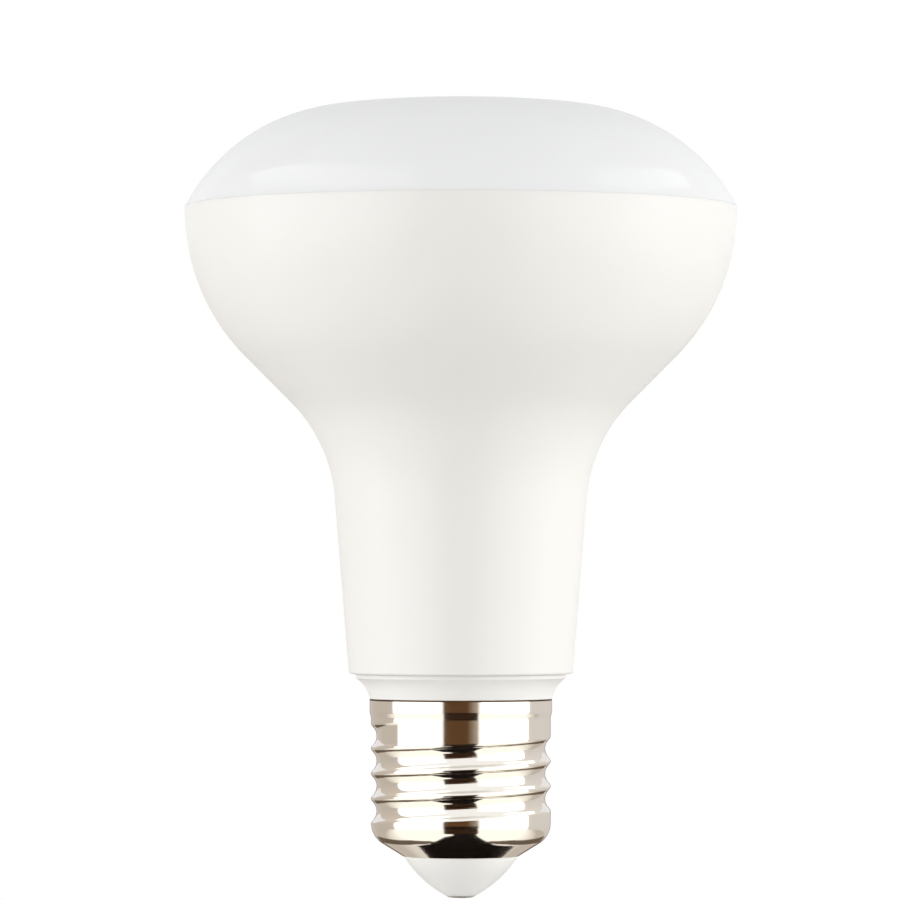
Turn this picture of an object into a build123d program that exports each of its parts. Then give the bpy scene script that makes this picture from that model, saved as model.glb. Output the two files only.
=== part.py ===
from build123d import *
import os
from math import atan2, cos, sin, sqrt

# LED reflector lamp with a screw cap, in millimetres.
# It stands cap down, as it is pictured. The axis is Z, and z = 0 is the tip of the centre contact.
# The front of the object faces -Y.

# Clearances
FIT = 0.1  # between moulded pieces that slide into each other
SNUG = 0.05  # between pressed pieces and between sheet metal and what it wraps

# Body outline
HEAD_RADIUS = 40.0
SEAM_HEIGHT = 100.0  # where the dome meets the housing
NECK_FOOT_HEIGHT = 32.4
NECK_FOOT_RADIUS = 16.2
NECK_TOP_HEIGHT = 66.0  # corner between the neck and the cone, before it is rounded
NECK_TOP_RADIUS = 18.9
SHOULDER_HEIGHT = 87.2  # corner between the cone and the rim, before it is rounded
NECK_BEND = 22.0
SHOULDER_BEND = 30.0
HOUSING_WALL = 1.5
FOOT_ROUND = 0.35

# Diffuser dome
DOME_RISE = 15.6
CROWN_RADIUS = 170.0
DOME_CORNER = 27.0
DOME_WALL = 1.2
DOME_SPIGOT_DEPTH = 4.5
DOME_BEAD_DROP = 2.6  # from the seam down to the snap bead

# Snap beads
BEAD_RADIUS = 0.5
BEAD_PROUD = 0.22

# Heat sink
LEDGE_HEIGHT = 46.0  # top of the housing's ledge, which the liner stands on
LEDGE_THICKNESS = 1.0
LINER_TOP = 90.0
LINER_WALL = 0.8
CARRIER_TOP = 86.0
CARRIER_THICKNESS = 1.5
CARRIER_SKIRT = 6.0
PASSAGE_LENGTH = 7.0  # slot at the centre of both plates, for the output pins
PASSAGE_WIDTH = 3.0

# Light board
LED_BOARD_RADIUS = 30.0
LED_BOARD_THICKNESS = 1.2
LED_RINGS = ((22.0, 12), (11.0, 6))  # radius of each ring and how many chips it holds
CHIP_LENGTH = 3.5
CHIP_WIDTH = 2.8
CHIP_HEIGHT = 0.7
CHIP_WELL_RADIUS = 1.1
CHIP_WELL_DEPTH = 0.15
SCREW_CIRCLE = 17.0
SCREW_COUNT = 3
SCREW_AZIMUTH = 15.0
SCREW_RADIUS = 1.2
SCREW_LENGTH = 5.0
SCREW_HEAD_RADIUS = 2.2
SCREW_HEAD_HEIGHT = 1.4
SCREW_POINT = 0.5
CROSS_LENGTH = 2.4
CROSS_WIDTH = 0.55
CROSS_DEPTH = 0.8
SOCKET_LENGTH = 8.0
SOCKET_WIDTH = 5.2
SOCKET_HEIGHT = 4.6
SOCKET_ROUND = 0.4
PIN_SIZE = 0.64
PIN_PITCH = 2.54
PIN_FOOT = 5.5  # length of a pin that lies on the driver board
PIN_REACH = 3.4  # length of a pin above the light board's top face

# Driver board
DRIVER_THICKNESS = 1.2
DRIVER_TOP = 78.0
DRIVER_STEP = 33.0  # below this height the board is narrow
DRIVER_BOTTOM = 15.0
DRIVER_HALF_WIDTH = 13.0
DRIVER_TAIL_HALF_WIDTH = 9.0
DRIVER_CORNER = 1.0

# Legs of the components that stand on the driver board
LEG_RADIUS = 0.3
LEG_TAIL = 0.8

# Components on the board's front: centre as (x, z)
FILM_PLACE = (4.0, 25.0)
FILM_SIZE = (3.6, 7.2, 6.4)
FILM_LEG_GAP = 5.0
FUSE_PLACE = (-4.5, 27.0)
FUSE_RADIUS = 1.3
FUSE_LENGTH = 6.5
FUSE_LEG_GAP = 9.6
FUSE_LIFT = 0.4
INDUCTOR_PLACE = (0.0, 39.0)
INDUCTOR_RADIUS = 4.0
INDUCTOR_HEIGHT = 8.0
INDUCTOR_FLANGE = 1.2
INDUCTOR_COIL_INSET = 0.7
INDUCTOR_LEG_GAP = 5.0
INPUT_PLACE = (0.0, 51.0)
INPUT_RADIUS = 4.0
INPUT_HEIGHT = 12.0
INPUT_LEG_GAP = 3.5
OUTPUT_PLACE = (8.2, 66.0)
OUTPUT_RADIUS = 3.15
OUTPUT_HEIGHT = 9.0
OUTPUT_LEG_GAP = 2.5
SLEEVE_GROOVE = 0.35
SLEEVE_GROOVE_RISE = 1.3
CAN_ROUND = 0.4
TRANSFORMER_PLACE = (-4.0, 66.0)
CORE_LENGTH = 11.6  # along Z
CORE_WIDTH = 13.0
CORE_DEPTH = 4.0
CORE_LEG = 3.0
CORE_SIDE_LEG = 2.4
CORE_YOKE = 1.8
COIL_BUILD = 2.1  # thickness of the winding on its former
FORMER_WALL = 0.7
FORMER_PIN_GAP = 6.0

# Components on the board's back: centre as (x, z)
BRIDGE_PLACE = (-4.2, 47.5)
BRIDGE_SIZE = (4.7, 3.9, 1.5)
DRIVER_CHIP_PLACE = (3.6, 58.0)
DRIVER_CHIP_SIZE = (4.9, 3.9, 1.5)
GULL_WIDTH = 0.4
GULL_THICKNESS = 0.2
GULL_REACH = 1.0
DIODE_PLACE = (6.6, 73.0)
DIODE_SIZE = (4.3, 2.6, 2.1)
RESISTOR_PLACES = ((-9.0, 55.0), (-9.0, 57.6), (-6.0, 55.0), (-6.0, 57.6), (-3.0, 55.0), (-3.0, 57.6))
RESISTOR_SIZE = (2.0, 1.25, 0.6)

# Screw cap
CAP_RIM = 28.8
SKIRT_RADIUS = 13.2
SKIRT_BEND = 1.5
SKIRT_TAPER_TOP = 26.9  # the skirt's rim is a little wider than the thread, by a taper between two heights
SKIRT_TAPER_BOTTOM = 26.1
SHEET = 0.3
THREAD_RADIUS = 13.0
THREAD_PITCH = 3.629
THREAD_ROOT_RADIUS = 12.2
THREAD_CREST_ROUND = 0.5
THREAD_TURNS = 3.53
THREAD_START_HEIGHT = 11.3  # middle of the groove at its lower end
THREAD_START_AZIMUTH = 60.0
RUN_OUT = 60.0  # degrees over which the groove fades at each end
CAP_CORNER_HEIGHT = 8.9  # corner between the thread and the shoulder, before it is rounded
CAP_CORNER_ROUND = 3.5
CAP_HOLE_RADIUS = 8.3
CAP_HOLE_HEIGHT = 6.0

# Collar between the neck and the cap
COLLAR_RADIUS = 15.2
COLLAR_EDGE = 0.6
COLLAR_PLUG_TOP = 44.0
COLLAR_BORE = 12.3
COLLAR_BEAD_DROP = 4.0  # from the top of the plug down to its snap bead
SPIGOT_BOTTOM = 17.0
SPIGOT_BORE = 9.9
LEAD_SLOT_AZIMUTH = 6.0

# Insulator and centre contact
INSULATOR_TOP = 9.4
INSULATOR_WELL_RADIUS = 6.0
INSULATOR_FLOOR = 3.6
INSULATOR_BULGE = 0.5
CONTACT_RADIUS = 2.2
CONTACT_HEIGHT = 0.35
CONTACT_FLAT = 1.2
CONTACT_PIN_RADIUS = 1.0
CONTACT_PIN_TOP = 5.0

# Leads
LEAD_RADIUS = 0.45

# Values that follow from the driving dimensions
NECK_SLOPE = (NECK_TOP_RADIUS - NECK_FOOT_RADIUS) / (NECK_TOP_HEIGHT - NECK_FOOT_HEIGHT)
APEX_HEIGHT = SEAM_HEIGHT + DOME_RISE
LINER_INSET = HOUSING_WALL + SNUG
CARRIER_INSET = LINER_INSET + LINER_WALL + SNUG
LED_BOARD_TOP = CARRIER_TOP + LED_BOARD_THICKNESS
DOME_BORE = HEAD_RADIUS - HOUSING_WALL - FIT - DOME_WALL
CAP_SLOPE = (CAP_CORNER_HEIGHT - CAP_HOLE_HEIGHT) / (THREAD_RADIUS - CAP_HOLE_RADIUS)
CAP_CORE_INSET = SHEET + SNUG
DRIVER_FACE = DRIVER_THICKNESS / 2
PIN_Y = DRIVER_FACE + PIN_SIZE / 2
LEG_HOLE = LEG_RADIUS + FIT
REACH = 3 * HEAD_RADIUS  # larger than anything that a cutting shape has to pass


def body_corners():
    """Corners of the body's outline, from below the neck's foot to above the seam."""
    drop = NECK_FOOT_HEIGHT
    foot = (NECK_FOOT_RADIUS - NECK_SLOPE * drop, 0)
    return [foot, (NECK_TOP_RADIUS, NECK_TOP_HEIGHT), (HEAD_RADIUS, SHOULDER_HEIGHT), (HEAD_RADIUS, REACH)]


def cap_corners():
    """Corners of the cap's outline, from beyond the axis up the shoulder, the thread and the skirt."""
    beyond = -CAP_HOLE_RADIUS
    low = (beyond, CAP_CORNER_HEIGHT - CAP_SLOPE * (THREAD_RADIUS - beyond))
    high = (SKIRT_RADIUS, 2 * CAP_RIM)
    return [
        low,
        (THREAD_RADIUS, CAP_CORNER_HEIGHT),
        (THREAD_RADIUS, SKIRT_TAPER_BOTTOM),
        (SKIRT_RADIUS, SKIRT_TAPER_TOP),
        high,
    ]


BODY = (body_corners(), [NECK_BEND, SHOULDER_BEND])
CAP = (cap_corners(), [CAP_CORNER_ROUND, SKIRT_BEND, SKIRT_BEND])


def half_section(outline, inset, low, high):
    """Half of the area inside a rounded outline, moved in by the inset, between two heights."""
    corners, bends = outline
    with BuildSketch(Plane.XZ) as half:
        with BuildLine():
            side = FilletPolyline(*corners, radius=bends)
            Polyline(side @ 1, (-REACH, corners[-1][1]), (-REACH, corners[0][1]), side @ 0)
        make_face()
        if inset:
            offset(amount=-inset)
        with Locations((0, low)):
            Rectangle(REACH, high - low, align=(Align.MIN, Align.MIN), mode=Mode.INTERSECT)
    return half.sketch


def block(size, low, high):
    """Half section of a plain round bar or bore between two heights."""
    with BuildSketch(Plane.XZ) as half:
        with Locations((0, low)):
            Rectangle(size, high - low, align=(Align.MIN, Align.MIN))
    return half.sketch


def snap_bead(radius, height, extra=0.0):
    """Round section of a snap bead that stands proud of a wall, or of its groove where it has extra."""
    with BuildSketch(Plane.XZ) as bead:
        with Locations((radius + BEAD_PROUD - BEAD_RADIUS, height)):
            Circle(BEAD_RADIUS + extra)
    return bead.sketch


def outline_radius(outline, inset, height):
    """Radius of a moved-in outline at one height."""
    sliver = half_section(outline, inset, height, height + SNUG)
    return sliver.vertices().group_by(Axis.Z)[0].sort_by(Axis.X)[-1].X


def dome_section(inset, rim_radius):
    """Half section under the dome's crown and rounded corner, closed at the height of its rim."""
    crown_z = APEX_HEIGHT - CROWN_RADIUS
    span = sqrt(HEAD_RADIUS**2 + (SEAM_HEIGHT - crown_z) ** 2)
    apart = CROWN_RADIUS - DOME_CORNER
    along = (DOME_CORNER**2 - apart**2 + span**2) / (2 * span)
    aside = sqrt(DOME_CORNER**2 - along**2)
    ux = -HEAD_RADIUS / span
    uz = (crown_z - SEAM_HEIGHT) / span
    corner_x = HEAD_RADIUS + along * ux + aside * uz
    corner_z = SEAM_HEIGHT + along * uz - aside * ux
    crown = CROWN_RADIUS - inset
    corner = DOME_CORNER - inset
    lean = atan2(corner_x, corner_z - crown_z)
    apex = (0, crown_z + crown)
    meet = (crown * sin(lean), crown_z + crown * cos(lean))
    rim = (rim_radius, corner_z + sqrt(corner**2 - (rim_radius - corner_x) ** 2))
    with BuildSketch(Plane.XZ) as half:
        with BuildLine():
            RadiusArc(apex, meet, crown)
            RadiusArc(meet, rim, corner)
            Polyline(rim, (0, rim[1]), apex)
        make_face()
    return half.sketch


def groove_section(inset):
    """Rolled groove in section: a hollow root that bends over into a rounded crest on either side."""
    depth = THREAD_RADIUS - THREAD_ROOT_RADIUS
    half_pitch = THREAD_PITCH / 2
    rounds = (half_pitch**2 + depth**2) / (2 * depth)
    bend = atan2(half_pitch, rounds - depth)
    valley = rounds - THREAD_CREST_ROUND + inset
    crest = THREAD_CREST_ROUND - inset
    root = THREAD_ROOT_RADIUS - inset
    turn_r = root + valley * (1 - cos(bend))
    turn_z = valley * sin(bend)
    lean = 0.94  # sine of the crest's slope where it leaves the wall, so that the two cross cleanly
    mouth_r = THREAD_RADIUS - inset - crest * (1 - lean)
    run = sqrt(1 - lean**2)
    mouth_z = half_pitch - crest * run
    far_r = mouth_r + 2 * SHEET * run
    far_z = mouth_z + 2 * SHEET * lean
    sides = Plane(origin=(0, 0, 0), x_dir=(1, 0, 0), z_dir=(0, -1, 0))
    with BuildSketch(sides) as section:
        with BuildLine():
            ThreePointArc((turn_r, -turn_z), (root, 0), (turn_r, turn_z))
            TangentArc((turn_r, turn_z), (mouth_r, mouth_z), tangent=(sin(bend), cos(bend)))
            TangentArc((turn_r, -turn_z), (mouth_r, -mouth_z), tangent=(sin(bend), -cos(bend)))
            Polyline((mouth_r, mouth_z), (far_r, far_z), (far_r, -far_z), (mouth_r, -mouth_z))
        make_face()
    return section.sketch


def run_out_core(inset, azimuth, low, high):
    """Eccentric bar that fills the groove's end: it reaches the wall at one azimuth and meets the root
    a run-out away."""
    crest = THREAD_RADIUS - inset + SNUG
    root = THREAD_ROOT_RADIUS - inset
    fade = Vector(1, 0).rotate(Axis.Z, RUN_OUT).X
    shift = (crest**2 - root**2) / (2 * (crest - root * fade))
    with BuildPart() as bar:
        with BuildSketch(Plane.XY.offset(low)):
            with PolarLocations(shift, 1, start_angle=azimuth):
                Circle(crest - shift)
        extrude(amount=high - low)
    return bar.part


def thread_groove(inset):
    """What the rolled thread takes out of the cap's wall, with a run-out at both ends."""
    rise = THREAD_TURNS * THREAD_PITCH
    top = THREAD_START_HEIGHT + rise
    end_azimuth = THREAD_START_AZIMUTH + 360 * THREAD_TURNS
    half_pitch = THREAD_PITCH / 2
    section = groove_section(inset)
    with BuildPart() as turns:
        with BuildLine() as path:
            Helix(pitch=THREAD_PITCH, height=rise, radius=THREAD_ROOT_RADIUS - inset)
        add(section)
        sweep(path=path.line, is_frenet=True)
    swept = turns.part.rotate(Axis.Z, THREAD_START_AZIMUTH).moved(Location((0, 0, THREAD_START_HEIGHT)))
    low_end = THREAD_START_HEIGHT + half_pitch
    low_core = run_out_core(inset, THREAD_START_AZIMUTH, 0, low_end)
    high_core = run_out_core(inset, end_azimuth, top - half_pitch, CAP_RIM)
    with BuildPart() as groove:
        add(swept)
        add(low_core, mode=Mode.SUBTRACT)
        add(high_core, mode=Mode.SUBTRACT)
    return groove.part


def cap_form(inset, low, high):
    """Solid that fills the threaded cap, moved in by the inset, between two heights."""
    groove = thread_groove(inset)
    with BuildPart() as form:
        add(half_section(CAP, inset, low, high))
        revolve(axis=Axis.Z)
        add(groove, mode=Mode.SUBTRACT)
    return form.part


def front(place, rise=0.0):
    """Plane on the driver board's front face at a place on the board, facing away from it."""
    x, z = place
    return Plane(origin=(x, -DRIVER_FACE - rise, z), x_dir=(1, 0, 0), z_dir=(0, -1, 0))


def back(place, rise=0.0):
    """Plane on the driver board's back face at a place on the board, facing away from it."""
    x, z = place
    return Plane(origin=(x, DRIVER_FACE + rise, z), x_dir=(-1, 0, 0), z_dir=(0, 1, 0))


def paired(gap, upright=False):
    """Two points either side of a component's centre."""
    half = gap / 2
    return ((0, -half), (0, half)) if upright else ((-half, 0), (half, 0))


FILM_LEGS = paired(FILM_LEG_GAP, upright=True)
FUSE_LEGS = paired(FUSE_LEG_GAP, upright=True)
INDUCTOR_LEGS = paired(INDUCTOR_LEG_GAP)
INPUT_LEGS = paired(INPUT_LEG_GAP)
OUTPUT_LEGS = paired(OUTPUT_LEG_GAP)
FORMER_LENGTH = CORE_LENGTH - 2 * (CORE_YOKE + FIT)
FORMER_PINS = tuple(
    (x, z)
    for x in (-FORMER_PIN_GAP / 2, FORMER_PIN_GAP / 2)
    for z in (-(FORMER_LENGTH - FORMER_WALL) / 2, (FORMER_LENGTH - FORMER_WALL) / 2)
)
LEGGED = (
    (FILM_PLACE, FILM_LEGS),
    (FUSE_PLACE, FUSE_LEGS),
    (INDUCTOR_PLACE, INDUCTOR_LEGS),
    (INPUT_PLACE, INPUT_LEGS),
    (OUTPUT_PLACE, OUTPUT_LEGS),
    (TRANSFORMER_PLACE, FORMER_PINS),
)


def legs(place, points, rise=0.0):
    """Round legs from a component's underside through the board to short tails behind it."""
    with BuildPart() as pair:
        with BuildSketch(front(place, rise)):
            with Locations(*points):
                Circle(LEG_RADIUS)
        extrude(amount=-(rise + DRIVER_THICKNESS + LEG_TAIL))
    return pair.part


def finish(piece, name):
    """Label a finished piece and write it to its own file."""
    piece.part.label = name
    export_step(piece.part, f"parts/{name}.step")


os.makedirs("parts", exist_ok=True)

# Diffuser dome: a moulded shell that seats on the housing's rim and snaps in by a bead on its spigot
spigot_bottom = SEAM_HEIGHT - DOME_SPIGOT_DEPTH
bead_height = SEAM_HEIGHT - DOME_BEAD_DROP
spigot_radius_at_bead = outline_radius(BODY, HOUSING_WALL + FIT, bead_height)
dome_inside = dome_section(DOME_WALL, DOME_BORE)
dome_rim = dome_inside.vertices().sort_by(Axis.X)[-1].Z
with BuildPart() as diffuser_dome:
    with BuildSketch(Plane.XZ):
        add(dome_section(0, HEAD_RADIUS))
        add(half_section(BODY, HOUSING_WALL + FIT, spigot_bottom, SEAM_HEIGHT))
        add(snap_bead(spigot_radius_at_bead, bead_height))
        add(dome_inside, mode=Mode.SUBTRACT)
        add(half_section(BODY, HOUSING_WALL + FIT + DOME_WALL, spigot_bottom, dome_rim), mode=Mode.SUBTRACT)
    revolve(axis=Axis.Z)
finish(diffuser_dome, "diffuser_dome")

# Housing: neck, cone and rim in one moulding, with a ledge for the liner and a groove for each bead
plug_radius_at_bead = outline_radius(BODY, HOUSING_WALL + FIT, COLLAR_PLUG_TOP - COLLAR_BEAD_DROP)
ledge_bottom = LEDGE_HEIGHT - LEDGE_THICKNESS
ledge_inset = HOUSING_WALL + LINER_WALL
with BuildPart() as housing:
    with BuildSketch(Plane.XZ):
        add(half_section(BODY, 0, NECK_FOOT_HEIGHT, SEAM_HEIGHT))
        add(half_section(BODY, HOUSING_WALL, NECK_FOOT_HEIGHT, ledge_bottom), mode=Mode.SUBTRACT)
        add(half_section(BODY, ledge_inset, ledge_bottom, LEDGE_HEIGHT), mode=Mode.SUBTRACT)
        add(half_section(BODY, HOUSING_WALL, LEDGE_HEIGHT, SEAM_HEIGHT), mode=Mode.SUBTRACT)
        add(snap_bead(spigot_radius_at_bead, bead_height, FIT), mode=Mode.SUBTRACT)
        add(snap_bead(plug_radius_at_bead, COLLAR_PLUG_TOP - COLLAR_BEAD_DROP, FIT), mode=Mode.SUBTRACT)
    revolve(axis=Axis.Z)
    foot = housing.edges().filter_by(GeomType.CIRCLE).group_by(Axis.Z)[0].sort_by(SortBy.RADIUS)[-1]
    fillet(foot, FOOT_ROUND)
finish(housing, "housing")

# Heat sink liner: a drawn cup without a floor, inside the housing
with BuildPart() as heat_sink_liner:
    with BuildSketch(Plane.XZ):
        add(half_section(BODY, LINER_INSET, LEDGE_HEIGHT, LINER_TOP))
        add(half_section(BODY, LINER_INSET + LINER_WALL, LEDGE_HEIGHT, LINER_TOP), mode=Mode.SUBTRACT)
    revolve(axis=Axis.Z)
finish(heat_sink_liner, "heat_sink_liner")

# Carrier plate: a pan whose skirt presses into the liner's taper
carrier_bottom = CARRIER_TOP - CARRIER_SKIRT
carrier_under = CARRIER_TOP - CARRIER_THICKNESS
with BuildPart() as carrier_plate:
    with BuildSketch(Plane.XZ):
        add(half_section(BODY, CARRIER_INSET, carrier_bottom, CARRIER_TOP))
        skirt_inset = CARRIER_INSET + CARRIER_THICKNESS
        add(half_section(BODY, skirt_inset, carrier_bottom, carrier_under), mode=Mode.SUBTRACT)
    revolve(axis=Axis.Z)
    with BuildSketch(Plane.XY.offset(CARRIER_TOP)):
        with PolarLocations(SCREW_CIRCLE, SCREW_COUNT, start_angle=SCREW_AZIMUTH):
            Circle(SCREW_RADIUS + SNUG)
        with Locations((0, PIN_Y)):
            SlotOverall(PASSAGE_LENGTH, PASSAGE_WIDTH)
    extrude(amount=-CARRIER_THICKNESS, mode=Mode.SUBTRACT)
finish(carrier_plate, "carrier_plate")

# Light board: a round board with three screw holes and the slot for the pins
with BuildPart() as led_board:
    with BuildSketch(Plane.XY.offset(CARRIER_TOP)):
        Circle(LED_BOARD_RADIUS)
        with PolarLocations(SCREW_CIRCLE, SCREW_COUNT, start_angle=SCREW_AZIMUTH):
            Circle(SCREW_RADIUS + FIT, mode=Mode.SUBTRACT)
        with Locations((0, PIN_Y)):
            SlotOverall(PASSAGE_LENGTH - 2, PASSAGE_WIDTH - 1, mode=Mode.SUBTRACT)
    extrude(amount=LED_BOARD_THICKNESS)
finish(led_board, "led_board")

# Light chips: two rings of small square packages, each with a round well in its face
with BuildPart() as led_chips:
    for ring_radius, ring_count in LED_RINGS:
        with BuildSketch(Plane.XY.offset(LED_BOARD_TOP)):
            with PolarLocations(ring_radius, ring_count):
                Rectangle(CHIP_LENGTH, CHIP_WIDTH)
        extrude(amount=CHIP_HEIGHT)
        with BuildSketch(Plane.XY.offset(LED_BOARD_TOP + CHIP_HEIGHT)):
            with PolarLocations(ring_radius, ring_count):
                Circle(CHIP_WELL_RADIUS)
        extrude(amount=-CHIP_WELL_DEPTH, mode=Mode.SUBTRACT)
finish(led_chips, "led_chips")

# Board screws: three pan heads with a cross recess, through the board into the carrier
with BuildPart() as board_screws:
    head_top = LED_BOARD_TOP + SCREW_HEAD_HEIGHT
    with BuildSketch(Plane.XY.offset(LED_BOARD_TOP)):
        with PolarLocations(SCREW_CIRCLE, SCREW_COUNT, start_angle=SCREW_AZIMUTH):
            Circle(SCREW_HEAD_RADIUS)
    extrude(amount=SCREW_HEAD_HEIGHT)
    crowns = board_screws.faces().group_by(Axis.Z)[-1].edges()
    fillet(crowns, SCREW_HEAD_HEIGHT / 2)
    with BuildSketch(Plane.XY.offset(LED_BOARD_TOP)):
        with PolarLocations(SCREW_CIRCLE, SCREW_COUNT, start_angle=SCREW_AZIMUTH):
            Circle(SCREW_RADIUS)
    extrude(amount=-SCREW_LENGTH)
    points = board_screws.faces().group_by(Axis.Z)[0].edges()
    chamfer(points, SCREW_POINT)
    with BuildSketch(Plane.XY.offset(head_top)):
        with PolarLocations(SCREW_CIRCLE, SCREW_COUNT, start_angle=SCREW_AZIMUTH):
            Rectangle(CROSS_LENGTH, CROSS_WIDTH)
            Rectangle(CROSS_WIDTH, CROSS_LENGTH)
    extrude(amount=-CROSS_DEPTH, mode=Mode.SUBTRACT)
finish(board_screws, "board_screws")

# Board socket: a moulded block over the slot, with a square hole for each pin
pin_places = ((-PIN_PITCH / 2, PIN_Y), (PIN_PITCH / 2, PIN_Y))
with BuildPart() as board_socket:
    with BuildSketch(Plane.XY.offset(LED_BOARD_TOP)):
        with Locations((0, PIN_Y)):
            RectangleRounded(SOCKET_LENGTH, SOCKET_WIDTH, SOCKET_ROUND)
    extrude(amount=SOCKET_HEIGHT)
    socket_top = board_socket.faces().sort_by(Axis.Z)[-1]
    chamfer(socket_top.edges(), SOCKET_ROUND / 2)
    with BuildSketch(Plane.XY.offset(LED_BOARD_TOP)):
        with Locations(*pin_places):
            Rectangle(PIN_SIZE + 2 * SNUG, PIN_SIZE + 2 * SNUG)
    extrude(amount=SOCKET_HEIGHT, mode=Mode.SUBTRACT)
finish(board_socket, "board_socket")

# Output pins: two square pins that lie on the driver board's back and rise through both plates
pin_bottom = DRIVER_TOP - PIN_FOOT
with BuildPart() as output_pins:
    with BuildSketch(Plane.XY.offset(pin_bottom)):
        with Locations(*pin_places):
            Rectangle(PIN_SIZE, PIN_SIZE)
    extrude(amount=LED_BOARD_TOP + PIN_REACH - pin_bottom)
finish(output_pins, "output_pins")

# Driver board: wide above, where the collar's slots hold its edges, and narrow inside the cap
board_step = DRIVER_STEP + SNUG
with BuildPart() as driver_board:
    with BuildSketch(Plane.XZ.offset(-DRIVER_FACE)):
        with BuildLine():
            Polyline(
                (-DRIVER_TAIL_HALF_WIDTH, DRIVER_BOTTOM),
                (DRIVER_TAIL_HALF_WIDTH, DRIVER_BOTTOM),
                (DRIVER_TAIL_HALF_WIDTH, board_step),
                (DRIVER_HALF_WIDTH, board_step),
                (DRIVER_HALF_WIDTH, DRIVER_TOP),
                (-DRIVER_HALF_WIDTH, DRIVER_TOP),
                (-DRIVER_HALF_WIDTH, board_step),
                (-DRIVER_TAIL_HALF_WIDTH, board_step),
                close=True,
            )
        face = make_face()
        ends = face.vertices().group_by(Axis.Z)
        fillet(ends[0] + ends[-1], DRIVER_CORNER)
    extrude(amount=DRIVER_THICKNESS)
    for place, points in LEGGED:
        with BuildSketch(front(place)):
            with Locations(*points):
                Circle(LEG_HOLE)
        extrude(amount=-DRIVER_THICKNESS, mode=Mode.SUBTRACT)
finish(driver_board, "driver_board")

# Film capacitor: a moulded box on two legs
with BuildPart() as film_capacitor:
    film_width, film_length, film_height = FILM_SIZE
    with BuildSketch(front(FILM_PLACE)):
        RectangleRounded(film_width, film_length, CAN_ROUND)
    extrude(amount=film_height)
    fillet(film_capacitor.faces().sort_by(Axis.Y)[0].edges(), CAN_ROUND)
    add(legs(FILM_PLACE, FILM_LEGS))
finish(film_capacitor, "film_capacitor")

# Fuse resistor: a waisted barrel that lies along the board, with its legs bent down to it
with BuildPart() as fuse_resistor:
    fuse_x, fuse_z = FUSE_PLACE
    fuse_rise = FUSE_RADIUS + FUSE_LIFT
    barrel = Plane(origin=(fuse_x, -DRIVER_FACE - fuse_rise, fuse_z), x_dir=(1, 0, 0), z_dir=(0, 0, 1))
    with BuildSketch(barrel):
        Circle(FUSE_RADIUS)
    extrude(amount=FUSE_LENGTH / 2, both=True)
    fillet(fuse_resistor.edges().filter_by(GeomType.CIRCLE), FUSE_LIFT)
    with BuildSketch(barrel):
        Circle(LEG_RADIUS)
    extrude(amount=FUSE_LEG_GAP / 2, both=True)
    add(legs(FUSE_PLACE, FUSE_LEGS, fuse_rise))
finish(fuse_resistor, "fuse_resistor")

# Filter inductor: a drum core with its winding between two flanges
with BuildPart() as filter_inductor:
    with BuildSketch(front(INDUCTOR_PLACE)):
        Circle(INDUCTOR_RADIUS)
    extrude(amount=INDUCTOR_FLANGE)
    with BuildSketch(front(INDUCTOR_PLACE, INDUCTOR_FLANGE)):
        Circle(INDUCTOR_RADIUS - INDUCTOR_COIL_INSET)
    extrude(amount=INDUCTOR_HEIGHT - 2 * INDUCTOR_FLANGE)
    with BuildSketch(front(INDUCTOR_PLACE, INDUCTOR_HEIGHT - INDUCTOR_FLANGE)):
        Circle(INDUCTOR_RADIUS)
    extrude(amount=INDUCTOR_FLANGE)
    add(legs(INDUCTOR_PLACE, INDUCTOR_LEGS))
finish(filter_inductor, "filter_inductor")


def can_capacitor(place, radius, height, points):
    """Electrolytic capacitor: a rounded can with a beaded foot, standing on the board by two legs."""
    with BuildPart() as can:
        with BuildSketch(front(place)):
            Circle(radius)
        extrude(amount=height)
        fillet(can.edges().filter_by(GeomType.CIRCLE), CAN_ROUND)
        with BuildSketch(front(place, SLEEVE_GROOVE_RISE)):
            Circle(radius + SLEEVE_GROOVE)
            Circle(radius - SLEEVE_GROOVE, mode=Mode.SUBTRACT)
        extrude(amount=SLEEVE_GROOVE, mode=Mode.SUBTRACT)
        add(legs(place, points))
    return can


# Electrolytic capacitors
input_capacitor = can_capacitor(INPUT_PLACE, INPUT_RADIUS, INPUT_HEIGHT, INPUT_LEGS)
finish(input_capacitor, "input_capacitor")
output_capacitor = can_capacitor(OUTPUT_PLACE, OUTPUT_RADIUS, OUTPUT_HEIGHT, OUTPUT_LEGS)
finish(output_capacitor, "output_capacitor")

# Transformer winding: a former with two end walls, the coil between them and four pins
former_width = CORE_WIDTH - 2 * (CORE_SIDE_LEG + FIT)
coil_width = CORE_LEG + 2 * (FIT + COIL_BUILD)
coil_depth = CORE_DEPTH + 2 * (FIT + COIL_BUILD)
former_depth = coil_depth + 2 * FIT
with BuildPart() as transformer_winding:
    with BuildSketch(front(TRANSFORMER_PLACE)):
        Rectangle(former_width, FORMER_LENGTH)
    extrude(amount=former_depth)
    transformer_x, transformer_z = TRANSFORMER_PLACE
    transformer_y = -DRIVER_FACE - former_depth / 2
    middle = Plane(origin=(transformer_x, transformer_y, transformer_z), x_dir=(1, 0, 0), z_dir=(0, 0, 1))
    with BuildSketch(middle):
        Rectangle(2 * former_width, 2 * former_depth)
        RectangleRounded(coil_width, coil_depth, COIL_BUILD / 2, mode=Mode.SUBTRACT)
    extrude(amount=FORMER_LENGTH / 2 - FORMER_WALL, both=True, mode=Mode.SUBTRACT)
    with BuildSketch(middle):
        Rectangle(CORE_LEG + 2 * FIT, CORE_DEPTH + 2 * FIT)
    extrude(amount=FORMER_LENGTH / 2, both=True, mode=Mode.SUBTRACT)
    add(legs(TRANSFORMER_PLACE, FORMER_PINS))
finish(transformer_winding, "transformer_winding")

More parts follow.
